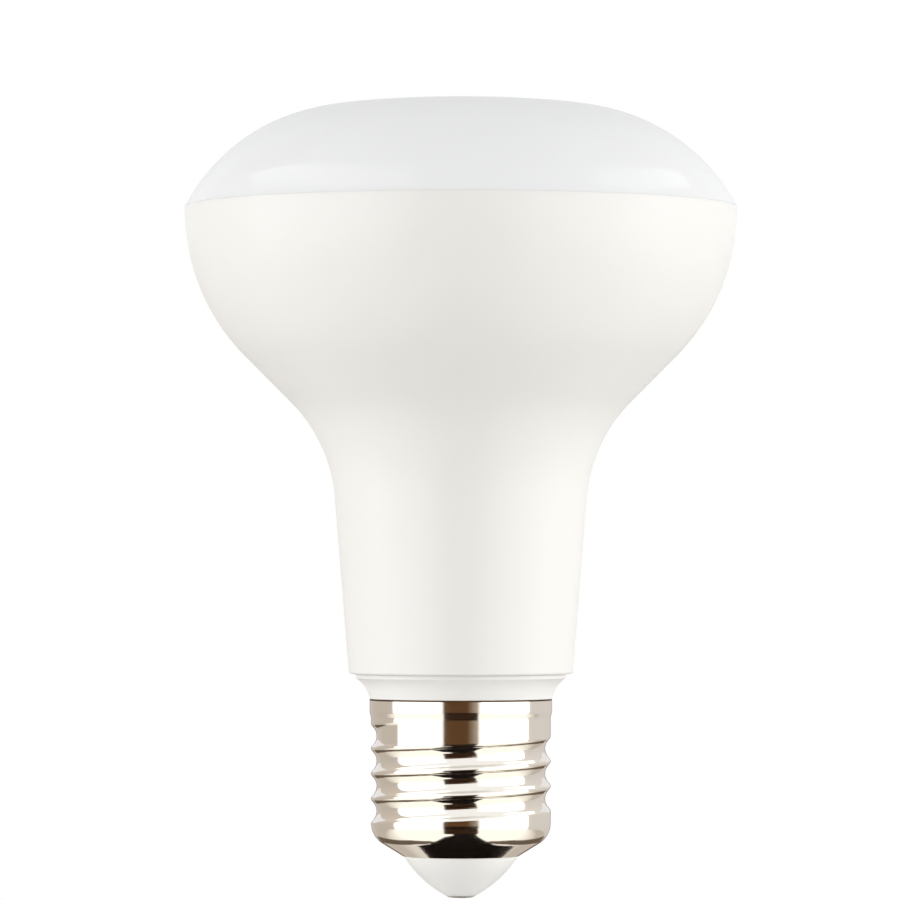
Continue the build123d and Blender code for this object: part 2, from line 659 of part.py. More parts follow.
# Transformer core: a ferrite frame with a centre leg through the former
window_width = (CORE_WIDTH - CORE_LEG) / 2 - CORE_SIDE_LEG
window_x = (CORE_LEG + window_width) / 2
with BuildPart() as transformer_core:
    with BuildSketch(front(TRANSFORMER_PLACE, (former_depth - CORE_DEPTH) / 2)):
        Rectangle(CORE_WIDTH, CORE_LENGTH)
        with Locations((-window_x, 0), (window_x, 0)):
            Rectangle(window_width, CORE_LENGTH - 2 * CORE_YOKE, mode=Mode.SUBTRACT)
    extrude(amount=CORE_DEPTH)
finish(transformer_core, "transformer_core")


def gull_chip(place, size, columns, pitch):
    """Moulded package on the board's back with a row of bent legs along its upper and lower edge."""
    width, length, height = size
    lift = GULL_THICKNESS
    with BuildPart() as chip:
        with BuildSketch(back(place, lift)):
            Rectangle(width, length)
        extrude(amount=height - lift)
        chamfer(chip.faces().sort_by(Axis.Y)[-1].edges(), lift)
        with BuildSketch(back(place)):
            with GridLocations(pitch, length + GULL_REACH, columns, 2):
                Rectangle(GULL_WIDTH, GULL_REACH)
        extrude(amount=GULL_THICKNESS)
        with BuildSketch(back(place)):
            with GridLocations(pitch, length + GULL_THICKNESS, columns, 2):
                Rectangle(GULL_WIDTH, GULL_THICKNESS)
        extrude(amount=height / 2)
    return chip


# Chips with legs: the bridge rectifier and the driver chip
bridge_rectifier = gull_chip(BRIDGE_PLACE, BRIDGE_SIZE, 2, BRIDGE_SIZE[0] / 2)
finish(bridge_rectifier, "bridge_rectifier")
driver_chip = gull_chip(DRIVER_CHIP_PLACE, DRIVER_CHIP_SIZE, 4, DRIVER_CHIP_SIZE[0] / 4)
finish(driver_chip, "driver_chip")

# Output diode: a moulded block between two end tabs
with BuildPart() as output_diode:
    diode_length, diode_width, diode_height = DIODE_SIZE
    with BuildSketch(back(DIODE_PLACE, GULL_THICKNESS)):
        Rectangle(diode_length, diode_width)
    extrude(amount=diode_height - GULL_THICKNESS)
    chamfer(output_diode.faces().sort_by(Axis.Y)[-1].edges(), GULL_THICKNESS)
    with BuildSketch(back(DIODE_PLACE)):
        Rectangle(diode_length + GULL_WIDTH, diode_width / 2)
    extrude(amount=diode_height / 2)
finish(output_diode, "output_diode")

# Chip resistors: small blocks flat on the board's back
with BuildPart() as chip_resistors:
    resistor_length, resistor_width, resistor_height = RESISTOR_SIZE
    for place in RESISTOR_PLACES:
        with BuildSketch(back(place)):
            Rectangle(resistor_length, resistor_width)
        extrude(amount=resistor_height)
finish(chip_resistors, "chip_resistors")

# Screw shell: rolled sheet with the thread showing inside and out
shell_outside = cap_form(0, 0, CAP_RIM)
shell_inside = cap_form(SHEET, -CAP_RIM, CAP_RIM + SHEET)
with BuildPart() as screw_shell:
    add(shell_outside)
    add(shell_inside, mode=Mode.SUBTRACT)
    with BuildSketch(Plane.XY):
        Circle(CAP_HOLE_RADIUS)
    extrude(amount=CAP_CORNER_HEIGHT, mode=Mode.SUBTRACT)
finish(screw_shell, "screw_shell")

# Cap collar: a plug in the neck, a flared skirt and a threaded spigot that the shell is screwed on
threaded_core = cap_form(CAP_CORE_INSET, SPIGOT_BOTTOM, CAP_RIM)
board_slot_radius = DRIVER_HALF_WIDTH + FIT
lead_slot = Plane.XY.offset(SPIGOT_BOTTOM)
lead_track = THREAD_ROOT_RADIUS - SHEET - SNUG - LEAD_RADIUS
with BuildPart() as cap_collar:
    with BuildSketch(Plane.XZ):
        add(half_section(BODY, HOUSING_WALL + FIT, NECK_FOOT_HEIGHT, COLLAR_PLUG_TOP))
        add(snap_bead(plug_radius_at_bead, COLLAR_PLUG_TOP - COLLAR_BEAD_DROP))
        with BuildLine():
            edge_low = NECK_FOOT_HEIGHT - COLLAR_EDGE
            flare = TangentArc(
                (SKIRT_RADIUS, CAP_RIM), (COLLAR_RADIUS, edge_low), tangent=(0.18, 1)
            )
            Polyline(
                flare @ 1,
                (COLLAR_RADIUS, NECK_FOOT_HEIGHT),
                (0, NECK_FOOT_HEIGHT),
                (0, CAP_RIM),
                flare @ 0,
            )
        make_face()
    revolve(axis=Axis.Z)
    add(threaded_core)
    with BuildSketch(lead_slot):
        Circle(SPIGOT_BORE)
    extrude(amount=DRIVER_STEP - SPIGOT_BOTTOM, mode=Mode.SUBTRACT)
    with BuildSketch(Plane.XY.offset(DRIVER_STEP)):
        Circle(COLLAR_BORE)
        Rectangle(2 * board_slot_radius, DRIVER_THICKNESS + 2 * FIT)
    extrude(amount=COLLAR_PLUG_TOP - DRIVER_STEP, mode=Mode.SUBTRACT)
    with BuildSketch(lead_slot):
        with PolarLocations(lead_track, 1, start_angle=LEAD_SLOT_AZIMUTH):
            Rectangle(2 * (LEAD_RADIUS + SNUG), 2 * (LEAD_RADIUS + SNUG))
            with Locations((LEAD_RADIUS + SNUG, 0)):
                Rectangle(2 * (LEAD_RADIUS + SNUG), 2 * (LEAD_RADIUS + SNUG))
    extrude(amount=THREAD_PITCH * 1.5, mode=Mode.SUBTRACT)
finish(cap_collar, "cap_collar")

# Cap insulator: a moulded cone through the shell's hole, with a flange that rests on its shoulder inside
nose_radius = CAP_HOLE_RADIUS - FIT
with BuildPart() as cap_insulator:
    with BuildSketch(Plane.XZ):
        add(half_section(CAP, CAP_CORE_INSET, CAP_HOLE_HEIGHT, INSULATOR_TOP))
        with BuildLine():
            nose_top = (nose_radius, CAP_HOLE_HEIGHT + SHEET)
            nose_edge = (nose_radius, CAP_HOLE_HEIGHT - FIT)
            nose_tip = (CONTACT_RADIUS, CONTACT_HEIGHT)
            SagittaArc(nose_edge, nose_tip, INSULATOR_BULGE)
            Polyline(nose_tip, (0, CONTACT_HEIGHT), (0, INSULATOR_TOP), (nose_radius, INSULATOR_TOP))
            Polyline((nose_radius, INSULATOR_TOP), nose_top, nose_edge)
        make_face()
        add(block(INSULATOR_WELL_RADIUS, INSULATOR_FLOOR, INSULATOR_TOP), mode=Mode.SUBTRACT)
        add(block(CONTACT_PIN_RADIUS + SNUG, 0, INSULATOR_TOP), mode=Mode.SUBTRACT)
    revolve(axis=Axis.Z)
finish(cap_insulator, "cap_insulator")

# Centre contact: a domed rivet with a small flat tip, its pin up through the insulator
with BuildPart() as centre_contact:
    with BuildSketch(Plane.XZ):
        with BuildLine():
            dome = TangentArc((CONTACT_FLAT, 0), (CONTACT_RADIUS, CONTACT_HEIGHT), tangent=(1, 0))
            Polyline(dome @ 1, (0, CONTACT_HEIGHT), (0, 0), dome @ 0)
        make_face()
        add(block(CONTACT_PIN_RADIUS, CONTACT_HEIGHT, CONTACT_PIN_TOP))
    revolve(axis=Axis.Z)
finish(centre_contact, "centre_contact")


def lead(points, name):
    """Round wire along straight runs joined by arcs as large as the runs allow."""
    corners = [Vector(*point) for point in points]
    bends = []
    for before, corner, after in zip(corners, corners[1:], corners[2:]):
        turn = (corner - before).get_angle(after - corner)
        half_turn = Vector(1, 0).rotate(Axis.Z, turn / 2)
        shorter = min((corner - before).length, (after - corner).length)
        bends.append(0.45 * shorter * half_turn.X / half_turn.Y)
    print(name, "bend radii:", [round(bend, 1) for bend in bends])
    with BuildPart() as wire:
        with BuildLine() as route:
            FilletPolyline(*corners, radius=bends)
        with BuildSketch(Plane(origin=route.line @ 0, z_dir=route.line % 0)):
            Circle(LEAD_RADIUS)
        sweep(path=route.line)
    return wire


# Leads: one from the centre contact, one that the shell pinches against the spigot
lead_y = DRIVER_FACE + LEAD_RADIUS + SNUG
live_lead = lead(
    ((0, 0, CONTACT_PIN_TOP), (0, 0, 8.6), (-3.4, -lead_y, 13.0), (-3.4, -lead_y, 19.0)),
    "live_lead",
)
finish(live_lead, "live_lead")
slot_direction = Vector(lead_track, 0).rotate(Axis.Z, LEAD_SLOT_AZIMUTH)
neutral_lead = lead(
    (
        (4.0, lead_y, 20.5),
        (4.0, lead_y, 14.8),
        (7.4, lead_y, 12.3),
        (slot_direction.X, slot_direction.Y, 14.6),
        (slot_direction.X, slot_direction.Y, SPIGOT_BOTTOM + THREAD_PITCH * 1.5 - FIT),
    ),
    "neutral_lead",
)
finish(neutral_lead, "neutral_lead")
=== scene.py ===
"""Studio scene of an LED reflector lamp: opal dome, tapered housing, flared collar and screw cap."""

import logging
import math
from dataclasses import dataclass, field
from enum import Enum

import bmesh
import bpy
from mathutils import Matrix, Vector


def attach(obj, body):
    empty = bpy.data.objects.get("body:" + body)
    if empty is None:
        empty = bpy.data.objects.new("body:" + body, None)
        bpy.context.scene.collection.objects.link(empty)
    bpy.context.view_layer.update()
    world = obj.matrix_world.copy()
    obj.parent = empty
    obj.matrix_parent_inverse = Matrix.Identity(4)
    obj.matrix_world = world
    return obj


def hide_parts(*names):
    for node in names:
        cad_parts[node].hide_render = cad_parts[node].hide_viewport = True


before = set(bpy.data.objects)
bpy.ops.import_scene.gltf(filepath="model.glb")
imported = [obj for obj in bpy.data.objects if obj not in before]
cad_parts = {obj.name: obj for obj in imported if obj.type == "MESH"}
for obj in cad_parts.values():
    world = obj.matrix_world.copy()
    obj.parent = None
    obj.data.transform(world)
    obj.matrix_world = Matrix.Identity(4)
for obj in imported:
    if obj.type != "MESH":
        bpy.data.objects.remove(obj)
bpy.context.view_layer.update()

MM = 0.001
WELD = 0.002 * MM
BODY = "root"
TURN = 2 * math.pi
LOG = logging.getLogger("lamp")

Point = tuple[float, float]
Corner = tuple[float, float, float]
Colour = tuple[float, float, float]
Section = tuple[list[Point], bool]


class Grain(Enum):
    """How a finish's fine pattern runs over a piece: the scale of its noise along X, Y and Z."""

    EVEN = (1.0, 1.0, 1.0)
    ROLLED = (0.02, 0.02, 1.0)
    DRAWN = (1.0, 1.0, 0.06)


class Paint(Enum):
    """Light that a card gives off, as linear red, green and blue."""

    BLACK = (0.004, 0.0015, 0.001)
    SOOT = (0.03, 0.012, 0.004)
    BROWN = (0.115, 0.052, 0.017)
    UMBER = (0.14, 0.105, 0.075)
    SAND = (0.45, 0.37, 0.28)
    STONE = (0.55, 0.49, 0.43)
    WARM_GREY = (0.60, 0.54, 0.48)
    PALE_GREY = (0.75, 0.71, 0.68)
    WHITE = (0.86, 0.86, 0.87)
    FAINT = (0.95, 0.95, 0.94)
    CREAM = (1.20, 1.17, 1.08)
    KEY = (1.95, 1.93, 1.86)
    SOFT = (3.2, 3.17, 3.05)


@dataclass(frozen=True)
class Finish:
    """One surface finish: two close colours that a noise blends, and a shine that the noise varies.

    Colours are linear, scales are in repeats for each metre and the bump's height is in metres.
    """

    name: str
    colour: Colour
    tint: Colour
    roughness: float
    spread: float = 0.05
    metallic: float = 0.0
    specular: float = 0.5
    coat: float = 0.0
    coat_roughness: float = 0.1
    subsurface: float = 0.0
    scatter: Colour = (1.0, 0.95, 0.9)
    scatter_depth: float = 0.003
    cloud_scale: float = 30.0
    cloud_detail: float = 3.0
    grain_scale: float = 2500.0
    grain_detail: float = 4.0
    grain: Grain = Grain.EVEN
    relief: float = 0.000004

    def material(self) -> bpy.types.Material:
        """Build the finish as a node material.

        Returns:
            The material, or the one of that name that was built before.
        """
        known = bpy.data.materials.get(self.name)
        if known:
            return known
        made = bpy.data.materials.new(self.name)
        made.use_nodes = True
        nodes, links = made.node_tree.nodes, made.node_tree.links
        shader = nodes["Principled BSDF"]
        place = nodes.new("ShaderNodeTexCoord")
        clouds = self._noise(nodes, links, place, self.cloud_scale, Grain.EVEN, self.cloud_detail)
        fine = self._noise(nodes, links, place, self.grain_scale, self.grain, self.grain_detail)
        blend = nodes.new("ShaderNodeMix")
        blend.data_type = "RGBA"
        blend.inputs["A"].default_value = (*self.colour, 1.0)
        blend.inputs["B"].default_value = (*self.tint, 1.0)
        links.new(clouds.outputs["Fac"], blend.inputs["Factor"])
        links.new(blend.outputs["Result"], shader.inputs["Base Color"])
        shine = nodes.new("ShaderNodeMapRange")
        shine.inputs["To Min"].default_value = self.roughness - self.spread
        shine.inputs["To Max"].default_value = self.roughness + self.spread
        links.new(fine.outputs["Fac"], shine.inputs["Value"])
        links.new(shine.outputs["Result"], shader.inputs["Roughness"])
        bump = nodes.new("ShaderNodeBump")
        bump.inputs["Distance"].default_value = self.relief
        links.new(fine.outputs["Fac"], bump.inputs["Height"])
        links.new(bump.outputs["Normal"], shader.inputs["Normal"])
        shader.inputs["Metallic"].default_value = self.metallic
        shader.inputs["Specular IOR Level"].default_value = self.specular
        shader.inputs["Coat Weight"].default_value = self.coat
        shader.inputs["Coat Roughness"].default_value = self.coat_roughness
        shader.inputs["Subsurface Weight"].default_value = self.subsurface
        shader.inputs["Subsurface Radius"].default_value = self.scatter
        shader.inputs["Subsurface Scale"].default_value = self.scatter_depth
        made.diffuse_color = (*self.colour, 1.0)
        return made

    @staticmethod
    def _noise(
        nodes: bpy.types.Nodes,
        links: bpy.types.NodeLinks,
        place: bpy.types.Node,
        scale: float,
        grain: Grain,
        detail: float,
    ) -> bpy.types.Node:
        """Add a noise that reads the piece's own coordinates.

        Args:
            nodes: the material's nodes.
            links: the material's links.
            place: the texture coordinate node.
            scale: repeats for each metre.
            grain: how the noise is stretched.
            detail: how many finer layers the noise has.

        Returns:
            The noise node.
        """
        stretch = nodes.new("ShaderNodeMapping")
        stretch.inputs["Scale"].default_value = grain.value
        noise = nodes.new("ShaderNodeTexNoise")
        noise.inputs["Scale"].default_value = scale
        noise.inputs["Detail"].default_value = detail
        links.new(place.outputs["Object"], stretch.inputs["Vector"])
        links.new(stretch.outputs["Vector"], noise.inputs["Vector"])
        return noise


OPAL = Finish(
    "opal_polycarbonate",
    (0.75, 0.76, 0.783),
    (0.735, 0.746, 0.769),
    roughness=0.30,
    spread=0.02,
    specular=0.0,
    coat=0.5,
    coat_roughness=0.07,
    subsurface=0.05,
    relief=0.000002,
)
HOUSING = Finish(
    "housing_polycarbonate",
    (0.776, 0.773, 0.757),
    (0.762, 0.758, 0.742),
    roughness=0.42,
    spread=0.04,
    coat=0.08,
    subsurface=0.1,
    grain_scale=1800.0,
    relief=0.000006,
)
COLLAR = Finish(
    "collar_polyamide",
    (0.80, 0.795, 0.775),
    (0.78, 0.775, 0.76),
    roughness=0.40,
    spread=0.04,
    subsurface=0.1,
)
NICKEL = Finish(
    "rolled_nickel",
    (0.92, 0.88, 0.82),
    (0.90, 0.855, 0.79),
    roughness=0.10,
    spread=0.03,
    metallic=1.0,
    cloud_scale=120.0,
    grain_scale=5200.0,
    grain=Grain.ROLLED,
    relief=0.0000012,
)
# Dark brown metal for the top of the shell's rim: painted shade for the dark line where the collar meets
# the shell.
RIM_SHADE = Finish(
    "painted_rim_shade",
    (0.10, 0.06, 0.035),
    (0.07, 0.04, 0.02),
    roughness=0.45,
    metallic=1.0,
    cloud_scale=300.0,
)
INSULATOR = Finish(
    "insulator_moulding",
    (0.82, 0.815, 0.80),
    (0.80, 0.795, 0.78),
    roughness=0.38,
    spread=0.04,
    subsurface=0.1,
)
CONTACT = Finish(
    "contact_tin",
    (0.92, 0.915, 0.90),
    (0.88, 0.875, 0.86),
    roughness=0.50,
    metallic=1.0,
    cloud_scale=400.0,
    grain_scale=6000.0,
)
ALUMINIUM = Finish(
    "drawn_aluminium", (0.62, 0.62, 0.63), (0.55, 0.55, 0.56), 0.32, metallic=1.0, grain=Grain.DRAWN
)
WHITE_MASK = Finish("white_solder_mask", (0.86, 0.86, 0.84), (0.83, 0.83, 0.80), 0.35, coat=0.2)
PHOSPHOR = Finish("phosphor_package", (0.90, 0.72, 0.16), (0.86, 0.66, 0.10), 0.5)
ZINC = Finish("zinc_plate", (0.50, 0.50, 0.49), (0.42, 0.42, 0.40), 0.30, metallic=1.0)
CONNECTOR = Finish("connector_nylon", (0.82, 0.81, 0.77), (0.79, 0.78, 0.74), 0.5)
TINNED_BRASS = Finish("tinned_brass", (0.72, 0.58, 0.30), (0.66, 0.62, 0.52), 0.28, metallic=1.0)
GREEN_MASK = Finish("green_solder_mask", (0.015, 0.10, 0.03), (0.02, 0.14, 0.045), 0.28, coat=0.3)
RED_FILM = Finish("film_epoxy_red", (0.30, 0.02, 0.01), (0.25, 0.015, 0.01), 0.25, coat=0.4)
CEMENT = Finish("resistor_cement", (0.17, 0.22, 0.20), (0.14, 0.19, 0.17), 0.6, relief=0.00002)
FERRITE = Finish("ferrite", (0.022, 0.022, 0.024), (0.035, 0.034, 0.033), 0.55, relief=0.00001)
SLEEVE = Finish("can_sleeve", (0.012, 0.016, 0.035), (0.016, 0.022, 0.045), 0.22, coat=0.3)
TAPE = Finish("coil_tape", (0.72, 0.50, 0.03), (0.66, 0.44, 0.02), 0.3, coat=0.2)
EPOXY = Finish("moulded_epoxy", (0.012, 0.012, 0.012), (0.02, 0.02, 0.02), 0.5)
RED_WIRE = Finish("red_insulation", (0.40, 0.01, 0.008), (0.34, 0.01, 0.008), 0.35)
WHITE_WIRE = Finish("white_insulation", (0.78, 0.78, 0.75), (0.74, 0.74, 0.70), 0.35)

INNER_FINISHES: dict[str, Finish] = {
    "heat_sink_liner": ALUMINIUM,
    "carrier_plate": ALUMINIUM,
    "led_board": WHITE_MASK,
    "led_chips": PHOSPHOR,
    "board_screws": ZINC,
    "board_socket": CONNECTOR,
    "output_pins": TINNED_BRASS,
    "driver_board": GREEN_MASK,
    "film_capacitor": RED_FILM,
    "fuse_resistor": CEMENT,
    "filter_inductor": FERRITE,
    "input_capacitor": SLEEVE,
    "output_capacitor": SLEEVE,
    "transformer_winding": TAPE,
    "transformer_core": FERRITE,
    "bridge_rectifier": EPOXY,
    "driver_chip": EPOXY,
    "output_diode": EPOXY,
    "chip_resistors": EPOXY,
    "live_lead": RED_WIRE,
    "neutral_lead": WHITE_WIRE,
}


def arc(centre: Point, radius: float, start: float, end: float, steps: int) -> list[Point]:
    """Give the points of an arc in a half section, its angles in radians from the radial direction."""
    angles = [start + (end - start) * i / steps for i in range(steps + 1)]
    return [(centre[0] + radius * math.cos(a), centre[1] + radius * math.sin(a)) for a in angles]


def rounded(corners: list[Corner], closed: bool, longest: float, chord: float = 0.06) -> list[Point]:
    """Follow corners that each have a bend radius, in millimetres.

    Args:
        corners: (radius, height, bend) of each corner.
        closed: whether the last corner joins the first.
        longest: longest straight step.
        chord: largest turn of one chord of a bend, in radians.

    Returns:
        The points of the outline, without a repeated end.
    """
    count = len(corners)
    bent: list[Point] = []
    for i, (x, z, bend) in enumerate(corners):
        here = Vector((x, z))
        at_end = not closed and i in (0, count - 1)
        if at_end or bend == 0:
            bent.append((x, z))
            continue
        before = (Vector(corners[i - 1][:2]) - here).normalized()
        after = (Vector(corners[(i + 1) % count][:2]) - here).normalized()
        between = before.angle(after)
        reach = bend / math.tan(between / 2)
        middle = here + (before + after).normalized() * (bend / math.sin(between / 2))
        first = here + before * reach - middle
        last = here + after * reach - middle
        turn = first.angle_signed(last)
        steps = max(3, math.ceil(abs(turn) / chord))
        start = math.atan2(first.y, first.x)
        bent += arc(tuple(middle), bend, start, start - turn, steps)
    points: list[Point] = []
    for i, here in enumerate(bent):
        points.append(here)
        if i == len(bent) - 1 and not closed:
            break
        ahead = bent[(i + 1) % len(bent)]
        pieces = math.ceil(math.dist(here, ahead) / longest)
        for k in range(1, pieces):
            share = k / pieces
            points.append((here[0] + (ahead[0] - here[0]) * share, here[1] + (ahead[1] - here[1]) * share))
    return points


def moved_in(corners: list[Corner], inset: float) -> list[Corner]:
    """Move an open run of corners towards the axis, with their bends kept parallel.

    Args:
        corners: (radius, height, bend) of each corner, from low to high.
        inset: distance to move each straight run.

    Returns:
        The moved corners.
    """
    moved: list[Corner] = []
    last = len(corners) - 1
    for i, (x, z, bend) in enumerate(corners):
        here = Vector((x, z))
        runs = []
        if i > 0:
            runs.append(here - Vector(corners[i - 1][:2]))
        if i < last:
            runs.append(Vector(corners[i + 1][:2]) - here)
        normals = [Vector((-run.y, run.x)).normalized() for run in runs]
        if len(normals) == 1:
            shift = normals[0] * inset
            grown = bend
        else:
            shift = (normals[0] + normals[1]) * (inset / (1 + normals[0].dot(normals[1])))
            hollow = runs[0].cross(runs[1]) < 0
            grown = bend + inset if hollow else max(bend - inset, 0)
        moved.append((x + shift.x, z + shift.y, grown))
    return moved


@dataclass
class Turned:
    """A piece turned about the lamp's axis. Sizes are in millimetres, and the crease is in degrees."""

    name: str
    node: str
    slot: str
    finish: Finish
    sides: int = 192
    crease: float = 38.0

    def section(self) -> Section:
        """Give the piece's half section and whether it is a closed loop."""
        raise NotImplementedError

    def shape(self, mesh: bmesh.types.BMesh) -> None:
        """Change the turned mesh before its normals are set. A plain piece changes nothing."""

    def build(self) -> bpy.types.Object:
        """Spin the section into a closed mesh, dress it and put it in place of its node.

        Returns:
            The finished object.
        """
        points, closed = self.section()
        mesh = bmesh.new()
        spots = [mesh.verts.new((x * MM, 0.0, z * MM)) for x, z in points]
        edges = [mesh.edges.new(pair) for pair in zip(spots, spots[1:])]
        if closed:
            edges.append(mesh.edges.new((spots[-1], spots[0])))
        bmesh.ops.spin(
            mesh,
            geom=spots + edges,
            cent=(0, 0, 0),
            axis=(0, 0, 1),
            angle=TURN,
            steps=self.sides,
            use_merge=True,
        )
        bmesh.ops.remove_doubles(mesh, verts=mesh.verts, dist=WELD)
        self.shape(mesh)
        bmesh.ops.recalc_face_normals(mesh, faces=mesh.faces)
        data = bpy.data.meshes.new(self.name)
        mesh.to_mesh(data)
        mesh.free()
        data.shade_smooth()
        data.set_sharp_from_angle(angle=math.radians(self.crease))
        data.materials.append(self.finish.material())
        piece = bpy.data.objects.new(self.name, data)
        bpy.context.scene.collection.objects.link(piece)
        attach(piece, BODY)
        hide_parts(self.node)
        LOG.info("%s: %d faces", self.name, len(data.polygons))
        return piece


@dataclass
class Body:
    """Sizes that the dome, the housing and the collar share, in millimetres."""

    head: float = 40.0
    seam: float = 100.0
    foot: float = 16.2
    foot_height: float = 32.4
    neck: float = 18.9
    neck_height: float = 66.0
    shoulder_height: float = 87.2
    neck_bend: float = 22.0
    shoulder_bend: float = 30.0
    wall: float = 1.5
    fit: float = 0.1

    def corners(self) -> list[Corner]:
        """Give the body's outline.

        Returns:
            The corners with their bends, from the neck's foot to the seam.
        """
        return [
            (self.foot, self.foot_height, 0.0),
            (self.neck, self.neck_height, self.neck_bend),
            (self.head, self.shoulder_height, self.shoulder_bend),
            (self.head, self.seam, 0.0),
        ]


@dataclass
class Housing(Turned):
    """Neck, cone and rim in one moulding."""

    body: Body = field(default_factory=Body)
    foot_round: float = 0.4
    rim_round: float = 0.06
    longest: float = 2.5
    chord: float = 0.035

    def section(self) -> Section:
        """Give the wall between the outline and its inset.

        Returns:
            The loop's points, and that it is closed.
        """
        outer = self.body.corners()
        inner = moved_in(outer, self.body.wall)
        low_x = inner[0][0]
        loop = [
            (outer[0][0], outer[0][1], self.foot_round),
            *outer[1:3],
            (outer[3][0], outer[3][1], self.rim_round),
            (inner[3][0], self.body.seam, self.rim_round),
            inner[2],
            inner[1],
            (low_x, self.body.foot_height, self.rim_round),
        ]
        return rounded(loop, closed=True, longest=self.longest, chord=self.chord), True


@dataclass
class Dome(Turned):
    """Opal dome with its crown, its rounded corner and the spigot inside the rim."""

    body: Body = field(default_factory=Body)
    rise: float = 15.6
    crown: float = 170.0
    corner: float = 27.0
    wall: float = 1.2
    spigot: float = 4.5
    spigot_lean: float = 0.25
    steps: int = 40

    def _corner_centre(self) -> Point:
        """Place the corner's arc, which touches the crown and starts at the seam.

        Returns:
            The arc's centre as radius and height.
        """
        crown_z = self.body.seam + self.rise - self.crown
        span = math.dist((self.body.head, self.body.seam), (0, crown_z))
        apart = self.crown - self.corner
        along = (self.corner**2 - apart**2 + span**2) / (2 * span)
        aside = math.sqrt(self.corner**2 - along**2)
        ux = -self.body.head / span
        uz = (crown_z - self.body.seam) / span
        return self.body.head + along * ux + aside * uz, self.body.seam + along * uz - aside * ux

    def _shell(self, inset: float, rim: float) -> list[Point]:
        """Follow the dome from its apex to its rim.

        Args:
            inset: distance inside the outer surface.
            rim: radius where the run ends.

        Returns:
            The points from the apex outwards.
        """
        crown_z = self.body.seam + self.rise - self.crown
        centre = self._corner_centre()
        lean = math.atan2(centre[1] - crown_z, centre[0])
        radius = self.corner - inset
        end = math.acos((rim - centre[0]) / radius)
        top = arc((0.0, crown_z), self.crown - inset, math.pi / 2, lean, self.steps // 2)
        side = arc(centre, radius, lean, end, self.steps)
        return [(0.0, top[0][1])] + top[1:] + side[1:]

    def section(self) -> Section:
        """Give the dome's wall from the outer apex round the spigot to the inner apex.

        Returns:
            The run's points, and that it is open, because both its ends lie on the axis.
        """
        seam = self.body.seam
        seat = self.body.head - self.body.wall - self.body.fit
        foot = seat - self.spigot_lean
        bore = seat - self.wall
        outer = self._shell(0.0, self.body.head)
        inner = self._shell(self.wall, bore)
        tail = [
            (seat, seam),
            (foot, seam - self.spigot),
            (foot - self.wall, seam - self.spigot),
            (bore, seam),
        ]
        return outer + tail + inner[::-1], False


@dataclass
class Cap:
    """Sizes of the screw cap, in millimetres and degrees."""

    rim: float = 28.8
    skirt: float = 13.2
    taper_top: float = 26.9
    taper_bottom: float = 26.1
    sheet: float = 0.3
    crest: float = 13.0
    root: float = 12.2
    pitch: float = 3.629
    crest_round: float = 0.5
    turns: float = 3.53
    start_height: float = 11.3
    start_azimuth: float = 60.0
    run_out: float = 60.0
    overrun: float = 0.05
    corner_height: float = 8.9
    corner_round: float = 3.5
    hole: float = 8.3
    hole_height: float = 6.0

    def _fade(self, angle: float) -> float:
        """Follow the eccentric bar that fills the groove's end.

        Args:
            angle: angle from the groove's end, in radians.

        Returns:
            The bar's radius there, in millimetres.
        """
        top = self.crest + self.overrun
        share = math.cos(math.radians(self.run_out))
        shift = (top**2 - self.root**2) / (2 * (top - self.root * share))
        return shift * math.cos(angle) + math.sqrt((top - shift) ** 2 - (shift * math.sin(angle)) ** 2)

    def _groove(self, away: float) -> float:
        """Follow the rolled groove across its width.

        Args:
            away: height from the groove's middle, in millimetres.

        Returns:
            The groove's radius there, in millimetres.
        """
        half = self.pitch / 2
        depth = self.crest - self.root
        rounds = (half**2 + depth**2) / (2 * depth)
        valley = rounds - self.crest_round
        bend = math.atan2(half, rounds - depth)
        if away <= valley * math.sin(bend):
            return self.root + valley - math.sqrt(valley**2 - away**2)
        return self.crest - self.crest_round + math.sqrt(self.crest_round**2 - (half - away) ** 2)

    def depth(self, azimuth: float, height: float) -> float:
        """How far the thread goes in at one place on the cap.

        Args:
            azimuth: angle about the axis, in radians.
            height: height above the tip, in millimetres.

        Returns:
            The depth in millimetres, which is 0 off the thread.
        """
        first = (math.degrees(azimuth) - self.start_azimuth) / 360 % 1
        turn = first + round((height - self.start_height) / self.pitch - first)
        turn = min(max(turn, first), first + math.floor(self.turns - first))
        away = abs(height - self.start_height - turn * self.pitch)
        if turn > self.turns or away >= self.pitch / 2:
            return 0.0
        radius = self._groove(away)
        for left in (turn * TURN, (self.turns - turn) * TURN):
            if left < math.radians(self.run_out):
                radius = max(radius, self._fade(left))
        return max(self.crest - radius, 0.0)


